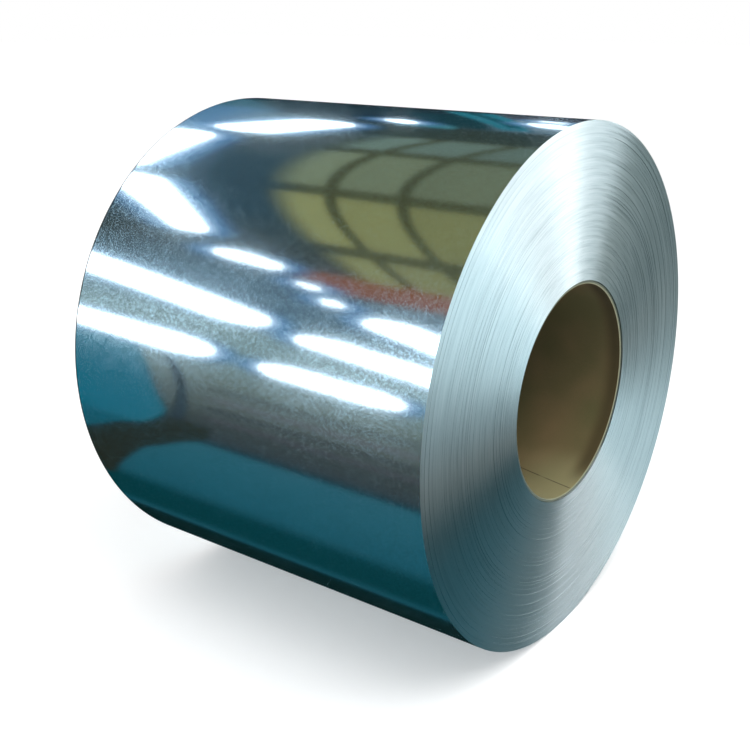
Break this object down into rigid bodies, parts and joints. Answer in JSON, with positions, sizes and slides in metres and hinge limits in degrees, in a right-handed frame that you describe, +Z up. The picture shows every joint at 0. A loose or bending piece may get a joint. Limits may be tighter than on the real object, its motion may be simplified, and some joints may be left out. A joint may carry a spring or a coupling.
{
  "type": "steel coil",
  "caption": "Coil of thin zinc-coated steel strip wound tight on a paper core, lying on its side, with a clear bore through its middle.",
  "frame": {"origin": "on the floor under the middle of the coil", "axes": "+X along the coil's axis towards the end that the picture shows, +Z up, +Y towards the far side"},
  "size_m": [1.0028, 1.2296, 1.2293],
  "materials": {
    "coated_steel": "polished",
    "kraft_paper": "matte"
  },
  "bodies": {
    "root": {"steel_coil": "coated_steel", "paper_core": "kraft_paper"}
  },
  "joints": []
}
